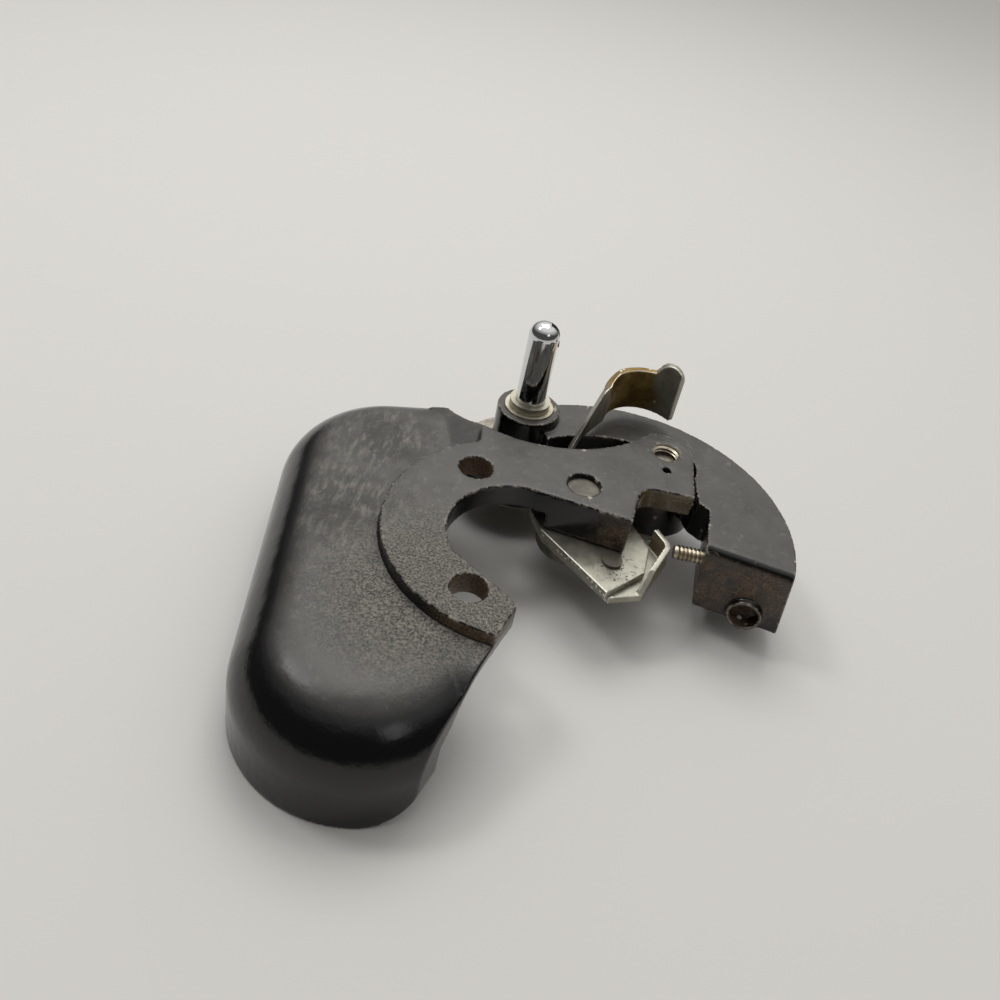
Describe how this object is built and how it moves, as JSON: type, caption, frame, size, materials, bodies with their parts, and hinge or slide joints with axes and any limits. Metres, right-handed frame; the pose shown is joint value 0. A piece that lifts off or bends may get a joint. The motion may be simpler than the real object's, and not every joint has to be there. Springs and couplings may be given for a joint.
{
  "type": "sewing bobbin winder",
  "caption": "Bobbin winder for a domestic sewing machine: crescent frame with chromed spindle and stop latch, swinging on the cast belt guard that carries it.",
  "frame": {"origin": "centre of the round mounting boss, on its flat face", "axes": "+Z is the boss face's normal, the way the bobbin spindle points; +X from the guard's skirt towards the winder frame; +Y towards the spindle"},
  "size_m": [0.0995, 0.1002, 0.0416],
  "materials": {
    "enamelled_iron": "worn black stove enamel",
    "chromed_steel": "polished",
    "nickelled_steel": "tarnished nickel",
    "plated_steel": "turned",
    "dark_steel": "oiled, slightly rusty",
    "bronze": "oiled",
    "rubber": "matte"
  },
  "bodies": {
    "guard": {"guard_bracket": "enamelled_iron", "latch_pin": "dark_steel", "latch_washer": "dark_steel", "pivot_screw": "dark_steel", "pivot_washer": "dark_steel", "return_spring": "dark_steel"},
    "frame": {"winder_frame": "enamelled_iron", "upper_bushing": "bronze", "lower_bushing": "bronze", "frame_bushing": "bronze", "stop_screw": "dark_steel"},
    "spindle": {"bobbin_spindle": "chromed_steel", "bobbin_retainer": "dark_steel", "thrust_washer": "dark_steel", "ring_pulley": "plated_steel", "rubber_ring": "rubber", "pulley_washer": "dark_steel", "pulley_screw": "dark_steel"},
    "latch": {"finger_lever": "nickelled_steel", "cam_lever": "nickelled_steel", "lever_rivet": "dark_steel"}
  },
  "joints": [
    {"name": "frame_swing", "type": "hinge", "parent": "guard", "child": "frame", "pos_m": [0.0244, 0.0313, 0], "axis": [0, 0, 1], "range_deg": [-6, 0]},
    {"name": "spindle_spin", "type": "hinge", "parent": "frame", "child": "spindle", "pos_m": [-0.004, 0.0382, 0], "axis": [0, 0, 1], "continuous": true},
    {"name": "latch_swing", "type": "hinge", "parent": "guard", "child": "latch", "pos_m": [0.00889, 0.01577, 0], "axis": [0, 0, 1], "range_deg": [-12, 0]}
  ],
  "couplings": [
    {"joint": "latch_swing", "follows": "frame_swing", "ratio": 2}
  ]
}
